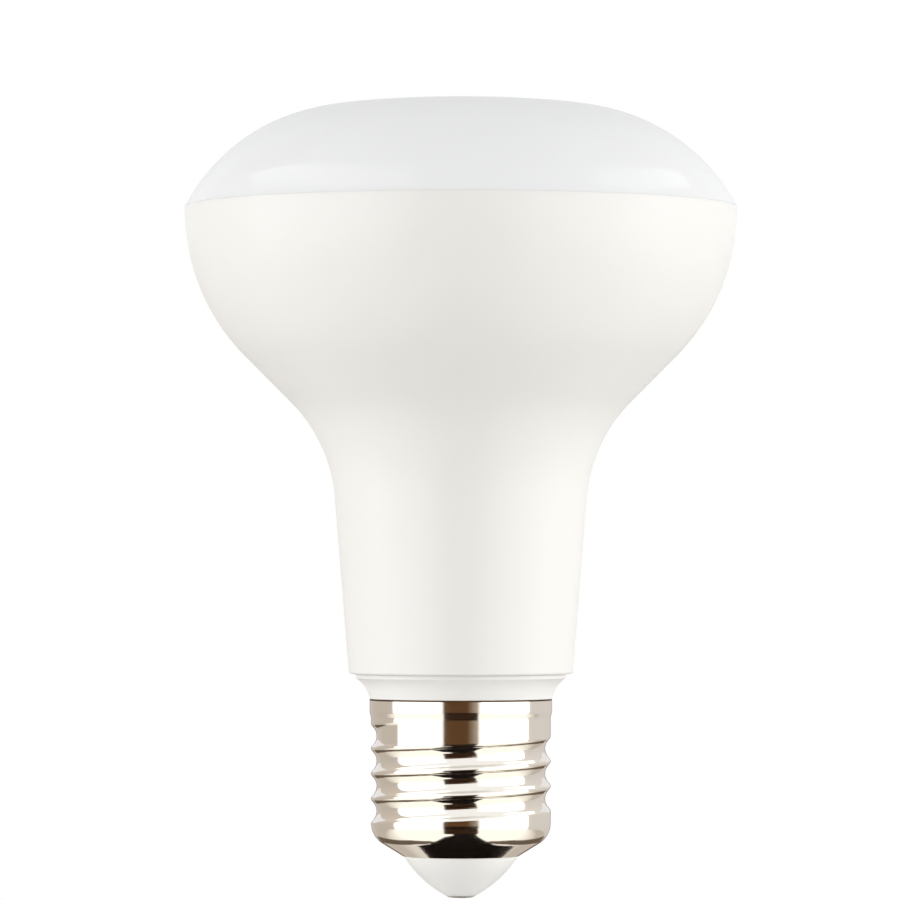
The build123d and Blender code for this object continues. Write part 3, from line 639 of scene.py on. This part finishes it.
@dataclass
class ScrewShell(Turned):
    """Rolled sheet shell with its thread, its shoulder and its plain rim."""

    cap: Cap = field(default_factory=Cap)
    rim_bend: float = 1.5
    edge_bend: float = 0.12
    # How far down from the rim the painted shade reaches, in millimetres.
    rim_shade_height: float = 0.3
    longest: float = 0.135
    chord: float = 0.08

    def section(self) -> Section:
        """Give the sheet's loop, with steps short enough to roll the thread into it.

        Returns:
            The loop's points, and that it is closed.
        """
        cap = self.cap
        outer = [
            (cap.hole, cap.hole_height, 0.0),
            (cap.crest, cap.corner_height, cap.corner_round),
            (cap.crest, cap.taper_bottom, self.rim_bend),
            (cap.skirt, cap.taper_top, self.rim_bend),
            (cap.skirt, cap.rim, 0.0),
        ]
        inner = moved_in(outer, cap.sheet)
        for run in (outer, inner):
            for end in (0, -1):
                run[end] = (*run[end][:2], self.edge_bend)
        return rounded(outer + inner[::-1], closed=True, longest=self.longest, chord=self.chord), True

    def shape(self, mesh: bmesh.types.BMesh) -> None:
        """Roll the thread into both faces of the sheet.

        Args:
            mesh: the turned sheet, whose vertices move towards the axis.
        """
        for spot in mesh.verts:
            azimuth = math.atan2(spot.co.y, spot.co.x)
            depth = self.cap.depth(azimuth, spot.co.z / MM) * MM
            if depth:
                out = Vector((spot.co.x, spot.co.y, 0.0)).normalized()
                spot.co -= out * depth

    def build(self) -> bpy.types.Object:
        """Build the shell and paint a dark band of shade on the top of its rim, where it meets the collar.

        Returns:
            The finished object.
        """
        piece = super().build()
        piece.data.materials.append(RIM_SHADE.material())
        # The faces at the top of the rim get the painted shade.
        for face in piece.data.polygons:
            if face.center.z > (self.cap.rim - self.rim_shade_height) * MM:
                face.material_index = 1
        return piece


@dataclass
class Collar(Turned):
    """Flared collar with the plug in the neck and the spigot in the cap."""

    body: Body = field(default_factory=Body)
    cap: Cap = field(default_factory=Cap)
    flange: float = 15.2
    edge: float = 0.6
    plug_top: float = 44.0
    bore: float = 12.3
    step: float = 33.0
    spigot_bottom: float = 17.0
    spigot_bore: float = 9.9
    flare_lean: float = 0.18
    chamfer: float = 0.12
    flare_steps: int = 16

    def section(self) -> Section:
        """Give the collar's loop. Its flare is an arc that leaves the cap's rim almost upright.

        Returns:
            The loop's points, and that it is closed.
        """
        foot_height = self.body.foot_height
        wall = moved_in(self.body.corners()[:2], self.body.wall + self.body.fit)
        slope = (wall[1][0] - wall[0][0]) / (wall[1][1] - wall[0][1])
        plug_low = wall[0][0] + slope * (foot_height - wall[0][1])
        plug_high = plug_low + slope * (self.plug_top - foot_height)
        spigot = self.cap.root - self.cap.sheet - self.body.fit
        start = Vector((self.cap.skirt, self.cap.rim))
        end = Vector((self.flange, foot_height - self.edge))
        upright = Vector((self.flare_lean, 1.0)).normalized()
        chord = end - start
        side = Vector((upright.y, -upright.x))
        radius = chord.length_squared / (2 * chord.dot(side))
        centre = start + side * radius
        first = math.atan2(start.y - centre.y, start.x - centre.x)
        last = math.atan2(end.y - centre.y, end.x - centre.x)
        flare = arc(tuple(centre), radius, first, last, self.flare_steps)
        rest = [
            (self.flange, foot_height - self.chamfer),
            (self.flange - self.chamfer, foot_height),
            (plug_low, foot_height),
            (plug_high, self.plug_top),
            (self.bore, self.plug_top),
            (self.bore, self.step),
            (self.spigot_bore, self.step),
            (self.spigot_bore, self.spigot_bottom),
            (spigot, self.spigot_bottom),
            (spigot, self.cap.rim),
        ]
        return flare + rest, True


@dataclass
class Insulator(Turned):
    """White cone through the cap's hole, with a hollow inside and a seat for the contact."""

    cap: Cap = field(default_factory=Cap)
    top: float = 9.4
    well: float = 6.0
    floor: float = 3.6
    seat: float = 2.2
    seat_height: float = 0.35
    bulge: float = 0.5
    pin: float = 1.05
    fit: float = 0.1
    steps: int = 24

    def section(self) -> Section:
        """Give the cone's loop, with its side as a shallow arc.

        Returns:
            The loop's points, and that it is closed.
        """
        nose = Vector((self.cap.hole - self.fit, self.cap.hole_height - self.fit))
        tip = Vector((self.seat, self.seat_height))
        chord = tip - nose
        half = chord.length / 2
        radius = (half**2 + self.bulge**2) / (2 * self.bulge)
        inward = Vector((chord.y, -chord.x)).normalized()
        centre = (nose + tip) / 2 + inward * (radius - self.bulge)
        first = math.atan2(nose.y - centre.y, nose.x - centre.x)
        last = math.atan2(tip.y - centre.y, tip.x - centre.x)
        side = arc(tuple(centre), radius, first, last, self.steps)
        inside = [
            (self.pin, self.seat_height),
            (self.pin, self.floor),
            (self.well, self.floor),
            (self.well, self.top),
            (nose.x, self.top),
        ]
        return side + inside, True


@dataclass
class Contact(Turned):
    """Domed rivet at the lamp's tip, with a small flat where it meets the holder."""

    radius: float = 2.2
    height: float = 0.35
    flat: float = 1.2
    pin: float = 1.0
    pin_top: float = 5.0
    chamfer: float = 0.15
    steps: int = 20

    def section(self) -> Section:
        """Give the rivet's outline from the middle of its flat round to the top of its pin.

        Returns:
            The run's points, and that it is open, because both its ends lie on the axis.
        """
        reach = self.radius - self.flat
        bend = (reach**2 + self.height**2) / (2 * self.height)
        swing = math.asin(reach / bend)
        head = arc((self.flat, bend), bend, -math.pi / 2, swing - math.pi / 2, self.steps)
        return [
            (0.0, 0.0),
            *head,
            (self.pin, self.height),
            (self.pin, self.pin_top - self.chamfer),
            (self.pin - self.chamfer, self.pin_top),
            (0.0, self.pin_top),
        ], False


@dataclass
class InnerPieces:
    """The pieces inside the lamp, which keep their solids and get their own finishes."""

    finishes: dict[str, Finish]

    def dress(self) -> None:
        """Give each inner node its material."""
        for node, finish in self.finishes.items():
            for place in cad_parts[node].material_slots:
                place.material = finish.material()
            LOG.info("%s: %s", node, finish.name)


@dataclass
class Softbox:
    """A rectangular lamp that faces the lamp's middle. Sizes are in metres and angles in degrees."""

    name: str
    azimuth: float
    half_angle: float
    power: float
    colour: Colour = (1.0, 1.0, 1.0)
    elevation: float = 6.0
    distance: float = 1.15
    height: float = 1.3
    aim_height: float = 0.05
    shiny: bool = True

    def place(self) -> bpy.types.Object:
        """Hang the lamp where its azimuth from the front and its elevation say.

        Returns:
            The lamp's object.
        """
        data = bpy.data.lights.new(self.name, "AREA")
        data.shape = "RECTANGLE"
        data.size = 2 * self.distance * math.tan(math.radians(self.half_angle))
        data.size_y = self.height
        data.energy = self.power
        data.color = self.colour
        lamp = bpy.data.objects.new(self.name, data)
        turn, tilt = math.radians(self.azimuth), math.radians(self.elevation)
        way = Vector((math.sin(turn) * math.cos(tilt), -math.cos(turn) * math.cos(tilt), math.sin(tilt)))
        lamp.location = Vector((0.0, 0.0, self.aim_height)) + way * self.distance
        lamp.rotation_euler = (-way).to_track_quat("-Z", "Y").to_euler()
        lamp.visible_camera = False
        lamp.visible_glossy = self.shiny
        bpy.context.scene.collection.objects.link(lamp)
        return lamp


@dataclass(frozen=True)
class Glow:
    """Look of a card: its paint changes over a band of one axis and its strength over a span of height."""

    first: Paint
    last: Paint
    axis: str = "X"
    band: Point = (-1.0, 1.0)
    low: float = 1.0
    high: float = 1.0
    span: Point = (-0.35, 1.5)

    @classmethod
    def plain(cls, paint: Paint) -> "Glow":
        """Give one paint all over."""
        return cls(paint, paint)

    def material(self, name: str) -> bpy.types.Material:
        """Build the card's material.

        Args:
            name: the material's name.

        Returns:
            The material.
        """
        paint = bpy.data.materials.new(name)
        paint.use_nodes = True
        nodes, links = paint.node_tree.nodes, paint.node_tree.links
        shader = nodes["Principled BSDF"]
        shader.inputs["Base Color"].default_value = (0.0, 0.0, 0.0, 1.0)
        shader.inputs["Specular IOR Level"].default_value = 0.0
        place = nodes.new("ShaderNodeTexCoord")
        split = nodes.new("ShaderNodeSeparateXYZ")
        links.new(place.outputs["Object"], split.inputs["Vector"])
        across = nodes.new("ShaderNodeMapRange")
        across.inputs["From Min"].default_value = self.band[0]
        across.inputs["From Max"].default_value = self.band[1]
        links.new(split.outputs[self.axis], across.inputs["Value"])
        blend = nodes.new("ShaderNodeMix")
        blend.data_type = "RGBA"
        blend.inputs["A"].default_value = (*self.first.value, 1.0)
        blend.inputs["B"].default_value = (*self.last.value, 1.0)
        links.new(across.outputs["Result"], blend.inputs["Factor"])
        links.new(blend.outputs["Result"], shader.inputs["Emission Color"])
        rise = nodes.new("ShaderNodeMapRange")
        rise.inputs["From Min"].default_value = self.span[0]
        rise.inputs["From Max"].default_value = self.span[1]
        rise.inputs["To Min"].default_value = self.low
        rise.inputs["To Max"].default_value = self.high
        links.new(split.outputs["Z"], rise.inputs["Value"])
        links.new(rise.outputs["Result"], shader.inputs["Emission Strength"])
        return paint


@dataclass
class Card:
    """A card that only the shiny pieces see, as a strip between two rows of spots in metres."""

    name: str
    glow: Glow
    first: list[Corner]
    second: list[Corner]

    def stand(self) -> bpy.types.Object:
        """Build the card and hide it from everything but reflections.

        Returns:
            The card's object.
        """
        mesh = bmesh.new()
        rows = [[mesh.verts.new(spot) for spot in row] for row in (self.first, self.second)]
        for i in range(len(self.first) - 1):
            mesh.faces.new((rows[0][i], rows[0][i + 1], rows[1][i + 1], rows[1][i]))
        data = bpy.data.meshes.new(self.name)
        mesh.to_mesh(data)
        mesh.free()
        data.materials.append(self.glow.material(self.name))
        card = bpy.data.objects.new(self.name, data)
        bpy.context.scene.collection.objects.link(card)
        card.visible_camera = False
        card.visible_diffuse = False
        card.visible_shadow = False
        return card


@dataclass
class Studio:
    """Floor, cards, lamps, background and camera. Sizes are in metres unless a name says otherwise."""

    floor_height: float = -0.35
    floor_radius: float = 1.6
    floor_sides: int = 128
    floor_colour: Colour = (0.70, 0.70, 0.70)
    floor_roughness: float = 0.9
    floor_glow: float = 0.35
    floor_fade: Point = (0.05, 0.5)
    camera_distance: float = 0.85
    camera_height: float = 0.0477
    aim_x: float = -0.00157
    aim_z: float = 0.0648
    picture_width: float = 0.1304
    sensor_mm: float = 36.0
    sight: float = 50.0
    ambient: float = 0.58
    ambient_colour: Colour = (1.0, 0.98, 0.94)
    flag_distance: float = 1.30
    flag_half_angle: float = 22.0
    flag_top: float = 0.03
    flag_head: float = 0.16
    flag_fade: float = 0.36
    flag_foot: Point = (-0.13, -0.06)
    flag_foot_level: float = 0.08
    runner_step: float = -0.45
    runner_margin: float = 0.02
    back_radius: float = 1.35
    back_half_angle: float = 84.0
    back_top: float = 1.9
    back_levels: Point = (0.9, 1.15)
    back_steps: int = 48
    outline_half_angle: float = 11.0
    outline_top: float = 0.10
    outline_steps: int = 8
    back_light_half_angle: float = 36.0
    back_light_steps: int = 16
    card_gap: float = 0.004
    card_step: float = 0.02

    def camera(self) -> None:
        """Put the camera where the picture was taken from, a little below the lamp's middle."""
        data = bpy.data.cameras.new("camera")
        data.sensor_width = self.sensor_mm
        data.lens = self.sensor_mm * self.camera_distance / self.picture_width
        data.clip_end = self.sight
        view = bpy.data.objects.new("camera", data)
        view.location = (self.aim_x, -self.camera_distance, self.camera_height)
        target = Vector((self.aim_x, 0.0, self.aim_z))
        view.rotation_euler = (target - view.location).to_track_quat("-Z", "Y").to_euler()
        bpy.context.scene.collection.objects.link(view)
        bpy.context.scene.camera = view

    def world(self) -> None:
        """Make the background white to the camera and in reflections, and a plain level of light else."""
        world = bpy.data.worlds.new("studio")
        world.use_nodes = True
        bpy.context.scene.world = world
        nodes, links = world.node_tree.nodes, world.node_tree.links
        seen = self._seen(nodes, links)
        light = nodes["Background"]
        tone = nodes.new("ShaderNodeMix")
        tone.data_type = "RGBA"
        tone.inputs["A"].default_value = (*self.ambient_colour, 1.0)
        tone.inputs["B"].default_value = (1.0, 1.0, 1.0, 1.0)
        links.new(seen, tone.inputs["Factor"])
        links.new(tone.outputs["Result"], light.inputs["Color"])
        level = nodes.new("ShaderNodeMapRange")
        level.inputs["To Min"].default_value = self.ambient
        level.inputs["To Max"].default_value = 1.0
        links.new(seen, level.inputs["Value"])
        links.new(level.outputs["Result"], light.inputs["Strength"])

    @staticmethod
    def _seen(nodes: bpy.types.Nodes, links: bpy.types.NodeLinks) -> bpy.types.NodeSocket:
        """Tell rays that see the background, straight or in a reflection, from those that light.

        Args:
            nodes: the tree's nodes.
            links: the tree's links.

        Returns:
            A socket that is 1 for camera, glossy and transmission rays.
        """
        path = nodes.new("ShaderNodeLightPath")
        total = path.outputs["Is Camera Ray"]
        for ray in ("Is Glossy Ray", "Is Transmission Ray"):
            add = nodes.new("ShaderNodeMath")
            add.operation = "MAXIMUM"
            links.new(total, add.inputs[0])
            links.new(path.outputs[ray], add.inputs[1])
            total = add.outputs["Value"]
        return total

    def floor(self) -> None:
        """Lay a pale round floor well below the lamp, which keeps the lamp's shadow."""
        mesh = bmesh.new()
        bmesh.ops.create_circle(
            mesh, cap_ends=True, segments=self.floor_sides, radius=self.floor_radius
        )
        bmesh.ops.translate(mesh, verts=mesh.verts, vec=(0, 0, self.floor_height))
        data = bpy.data.meshes.new("floor")
        mesh.to_mesh(data)
        mesh.free()
        paint = bpy.data.materials.new("floor_paint")
        paint.use_nodes = True
        nodes, links = paint.node_tree.nodes, paint.node_tree.links
        shader = nodes["Principled BSDF"]
        shader.inputs["Base Color"].default_value = (*self.floor_colour, 1.0)
        shader.inputs["Roughness"].default_value = self.floor_roughness
        glow = nodes.new("ShaderNodeMapRange")
        glow.inputs["To Max"].default_value = self.floor_glow
        links.new(self._seen(nodes, links), glow.inputs["Value"])
        shader.inputs["Emission Color"].default_value = (1.0, 1.0, 1.0, 1.0)
        links.new(glow.outputs["Result"], shader.inputs["Emission Strength"])
        data.materials.append(paint)
        floor = bpy.data.objects.new("floor", data)
        bpy.context.scene.collection.objects.link(floor)

    def _round(self, radius: float, half_angle: float, height: float, steps: int) -> list[Corner]:
        """Spots on an arc behind the lamp.

        Args:
            radius: distance from the lamp's axis.
            half_angle: degrees to either side of straight behind.
            height: the spots' height.
            steps: how many chords the arc has.

        Returns:
            The spots from left to right.
        """
        spots = []
        for i in range(steps + 1):
            angle = math.radians(half_angle * (2 * i / steps - 1))
            spots.append((radius * math.sin(angle), radius * math.cos(angle), height))
        return spots

    @staticmethod
    def _pair(half: float, y: float, height: float) -> list[Corner]:
        """Give a spot at either side of the middle."""
        return [(-half, y, height), (half, y, height)]

    def _low(self) -> float:
        """Give the height of the card that covers the floor."""
        return self.floor_height + self.card_gap

    def _flag_half(self) -> float:
        """Give half the flag's width."""
        return self.flag_distance * math.tan(math.radians(self.flag_half_angle))

    def _front_cards(self) -> None:
        """Stand a warm dark flag behind the camera, for the band down the metal's front."""
        half = self._flag_half()
        front = -self.flag_distance
        fade = (self.flag_fade * half, half)
        Card(
            "flag",
            Glow(Paint.BROWN, Paint.SAND, band=fade, low=self.flag_foot_level, span=self.flag_foot),
            self._pair(half, front, self.flag_top),
            self._pair(half, front, self._low() + self.card_gap),
        ).stand()
        Card(
            "flag_head",
            Glow(Paint.BLACK, Paint.SAND, band=fade),
            self._pair(half, front, self.flag_head),
            self._pair(half, front, self.flag_top),
        ).stand()

    def _floor_cards(self) -> None:
        """Lay a dark runner with two arms on a pale floor card, for the lines under the thread's crests."""
        half = self._flag_half()
        low = self._low()
        lie = low + self.card_gap
        reach = self.back_radius
        step_half = -half * self.runner_step / self.flag_distance + self.runner_margin
        Card(
            "runner_far",
            Glow.plain(Paint.SOOT),
            self._pair(half, -self.flag_distance, lie),
            self._pair(step_half, self.runner_step, lie),
        ).stand()
        runner = [
            (self.runner_step, -0.28, step_half),
            (-0.41, -0.08, 0.17),
            (-0.33, -0.08, 0.15),
            (-0.25, -0.13, 0.14),
            (-0.04, -0.13, 0.13),
            (0.10, -0.12, 0.12),
            (0.20, -0.13, 0.12),
            (0.27, -0.13, 0.13),
            (0.33, -0.10, 0.145),
            (0.42, 0.10, 0.15),
        ]
        Card(
            "runner_near",
            Glow.plain(Paint.BLACK),
            [(left, y, lie) for y, left, _ in runner],
            [(right, y, lie) for y, _, right in runner],
        ).stand()
        inner = [(0.10, -0.02), (0.16, 0.20), (0.18, 0.35), (0.23, 0.69), (0.26, reach)]
        outer = [(0.16, -0.03), (0.27, 0.08), (0.33, 0.26), (0.43, 0.55), (0.52, reach)]
        for name, side in (("left_arm", -1), ("right_arm", 1)):
            Card(
                name,
                Glow.plain(Paint.UMBER),
                [(side * x, y, lie) for x, y in inner],
                [(side * x, y, lie) for x, y in outer],
            ).stand()
        Card(
            "floor_card",
            Glow(Paint.CREAM, Paint.STONE, axis="Y", band=self.floor_fade),
            self._pair(reach, -reach, low),
            self._pair(reach, reach, low),
        ).stand()

    def _back_cards(self) -> None:
        """Curve grey paper round behind the lamp, with a dark strip low down and a light one above it."""
        reach = self.back_radius
        near = reach - self.card_step
        low = self._low()
        dim, full = self.back_levels
        Card(
            "backing",
            Glow(Paint.WARM_GREY, Paint.PALE_GREY, low=dim, high=full),
            self._round(reach, self.back_half_angle, self.back_top, self.back_steps),
            self._round(reach, self.back_half_angle, low, self.back_steps),
        ).stand()
        Card(
            "outline_card",
            Glow.plain(Paint.BROWN),
            self._round(near, self.outline_half_angle, self.outline_top, self.outline_steps),
            self._round(near, self.outline_half_angle, low, self.outline_steps),
        ).stand()
        Card(
            "back_light",
            Glow.plain(Paint.WHITE),
            self._round(near, self.back_light_half_angle, self.back_top, self.back_light_steps),
            self._round(near, self.back_light_half_angle, self.outline_top, self.back_light_steps),
        ).stand()

    @staticmethod
    def _dome_cards() -> None:
        """Hang two cards above the lamp, for the crisp patch and the soft one on the dome."""
        Card(
            "dome_key",
            Glow.plain(Paint.KEY),
            [(0.64, 0.0, 1.06), (0.73, 0.38, 0.92), (0.68, 0.71, 0.72)],
            [(0.75, -0.15, 0.98), (0.88, 0.10, 0.86), (0.77, 0.65, 0.67)],
        ).stand()
        Card(
            "dome_fill",
            Glow(Paint.FAINT, Paint.SOFT, band=(-0.86, -0.60), high=0.5, span=(0.9, 1.2)),
            [(-0.74, 0.59, 0.77), (-0.59, 0.02, 1.10), (-0.26, -0.32, 1.19)],
            [(-0.88, 0.31, 0.79), (-0.69, -0.28, 1.00), (-0.29, -0.56, 1.09)],
        ).stand()

    def cards(self) -> None:
        """Set all the cards, which only reflections see."""
        self._front_cards()
        self._floor_cards()
        self._back_cards()
        self._dome_cards()

    @staticmethod
    def lamps() -> None:
        """Hang a softbox on either side of the camera, one overhead and one beside each edge."""
        boxes = [
            Softbox("left_box", azimuth=-60.0, half_angle=35.0, power=7.9, colour=(1.0, 0.998, 0.99)),
            Softbox("right_box", azimuth=63.5, half_angle=38.5, power=8.5, colour=(1.0, 0.998, 0.985)),
            Softbox(
                "top_box",
                azimuth=10.0,
                half_angle=27.0,
                power=2.6,
                colour=(0.99, 0.995, 1.0),
                elevation=72.0,
                height=0.9,
                shiny=False,
            ),
            Softbox("left_rim", azimuth=-103.0, half_angle=22.0, power=3.4, height=1.0, shiny=False),
            Softbox("right_rim", azimuth=103.0, half_angle=22.0, power=4.2, height=1.0, shiny=False),
        ]
        for box in boxes:
            box.place()

    def build(self) -> None:
        """Build the studio round the lamp."""
        self.camera()
        self.world()
        self.floor()
        self.cards()
        self.lamps()
        bpy.context.scene.view_settings.view_transform = "Standard"


def main() -> None:
    """Build the lamp's pieces in order, then the studio."""
    logging.basicConfig(level=logging.INFO, format="%(name)s: %(message)s")
    body = Body()
    cap = Cap()
    pieces: list[Turned] = [
        Dome("opal_dome", "diffuser_dome", "opal_plastic", OPAL, body=body),
        Housing("lamp_housing", "housing", "housing_plastic", HOUSING, body=body),
        Collar("flared_collar", "cap_collar", "collar_plastic", COLLAR, body=body, cap=cap),
        ScrewShell("rolled_shell", "screw_shell", "nickel", NICKEL, cap=cap),
        Insulator("cone_insulator", "cap_insulator", "insulator_plastic", INSULATOR, cap=cap),
        Contact("tip_contact", "centre_contact", "contact_metal", CONTACT),
    ]
    for piece in pieces:
        piece.build()
    InnerPieces(INNER_FINISHES).dress()
    Studio().build()


if __name__ == "__main__":
    main()
